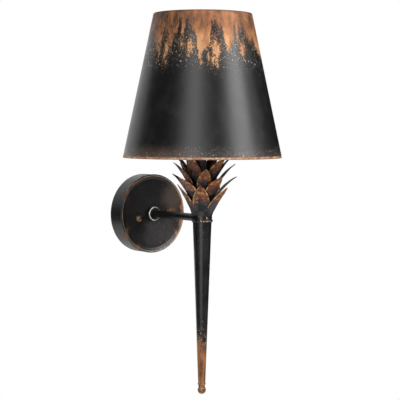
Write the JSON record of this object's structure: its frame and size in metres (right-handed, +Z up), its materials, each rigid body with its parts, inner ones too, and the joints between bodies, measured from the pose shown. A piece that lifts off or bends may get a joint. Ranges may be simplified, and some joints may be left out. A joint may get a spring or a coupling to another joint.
{
  "type": "wall sconce",
  "caption": "Torch-shaped wall light: round wall plate, straight arm, tapered stem with a crown of metal leaves and a tapered metal shade.",
  "frame": {"origin": "centre of the wall plate's back, on the wall", "axes": "+Y into the wall, so the light stands out along -Y; +Z up; +X to the right for a person facing the wall"},
  "size_m": [0.2494, 0.2827, 0.6001],
  "materials": {
    "zinc_steel": "zinc plated",
    "black_paint": "satin black paint rubbed through to copper at edges",
    "worn_ring": "worn grey",
    "aged_brass": "dull, aged",
    "worn_copper": "copper leaf rubbed over black",
    "block_plastic": "matt",
    "contact_brass": "bright",
    "tinned_tag": "tinned",
    "holder_metal": "dark bronze paint",
    "ceramic": "unglazed ceramic",
    "bulb_metal": "satin",
    "bulb_glass": "clear",
    "filament": "yellow coating",
    "live_insulation": "brown sleeve",
    "neutral_insulation": "blue sleeve",
    "earth_insulation": "green and yellow sleeve"
  },
  "bodies": {
    "wall_mount": {"wall_bracket": "zinc_steel", "bracket_studs": "zinc_steel", "stud_nuts": "zinc_steel", "block_screw": "zinc_steel", "terminal_screws": "zinc_steel", "arm_washer": "zinc_steel", "arm_nut": "zinc_steel", "tie_rod": "zinc_steel", "leaf_spacers": "zinc_steel", "stack_nut": "zinc_steel", "lamp_tube": "zinc_steel", "holder_nut": "zinc_steel", "wall_plate": "black_paint", "arm_tube": "black_paint", "leaf_cup": "black_paint", "stem": "black_paint", "root_ring": "worn_ring", "earth_screw": "aged_brass", "tip_ring": "worn_copper", "leaf_tier_1": "worn_copper", "leaf_tier_2": "worn_copper", "leaf_tier_3": "worn_copper", "leaf_tier_4": "worn_copper", "leaf_tier_5": "worn_copper", "terminal_block": "block_plastic", "terminal_barrels": "contact_brass", "holder_terminals": "contact_brass", "earth_lug": "contact_brass", "screw_shell": "contact_brass", "centre_contact": "contact_brass", "earth_tag": "tinned_tag", "holder_cap": "holder_metal", "holder_sleeve": "holder_metal", "holder_core": "ceramic", "live_wire": "live_insulation", "neutral_wire": "neutral_insulation", "earth_wire": "earth_insulation"},
    "left_knob": {"left_knob": "aged_brass"},
    "right_knob": {"right_knob": "aged_brass"},
    "finial": {"finial": "worn_copper"},
    "shade": {"shade_shell": "black_paint", "shade_carrier": "holder_metal"},
    "ring_nut": {"ring_nut": "holder_metal"},
    "bulb": {"bulb_cap": "bulb_metal", "bulb_glass": "bulb_glass", "bulb_filaments": "filament"}
  },
  "joints": [
    {"name": "left_knob_turn", "type": "hinge", "parent": "wall_mount", "child": "left_knob", "pos_m": [-0.02936, -0.0283, -0.00703], "axis": [0, -1, 0], "continuous": true},
    {"name": "right_knob_turn", "type": "hinge", "parent": "wall_mount", "child": "right_knob", "pos_m": [0.03019, -0.0283, 0.00028], "axis": [0, -1, 0], "continuous": true},
    {"name": "finial_turn", "type": "hinge", "parent": "wall_mount", "child": "finial", "pos_m": [0, -0.158, -0.2654], "axis": [0, 0, 1], "continuous": true},
    {"name": "shade_swivel", "type": "hinge", "parent": "wall_mount", "child": "shade", "pos_m": [0, -0.158, 0.1513], "axis": [0, 0, 1], "continuous": true},
    {"name": "ring_nut_turn", "type": "hinge", "parent": "wall_mount", "child": "ring_nut", "pos_m": [0, -0.158, 0.1532], "axis": [0, 0, 1], "continuous": true},
    {"name": "bulb_turn", "type": "hinge", "parent": "wall_mount", "child": "bulb", "pos_m": [0, -0.158, 0.1505], "axis": [0, 0, 1], "continuous": true}
  ]
}
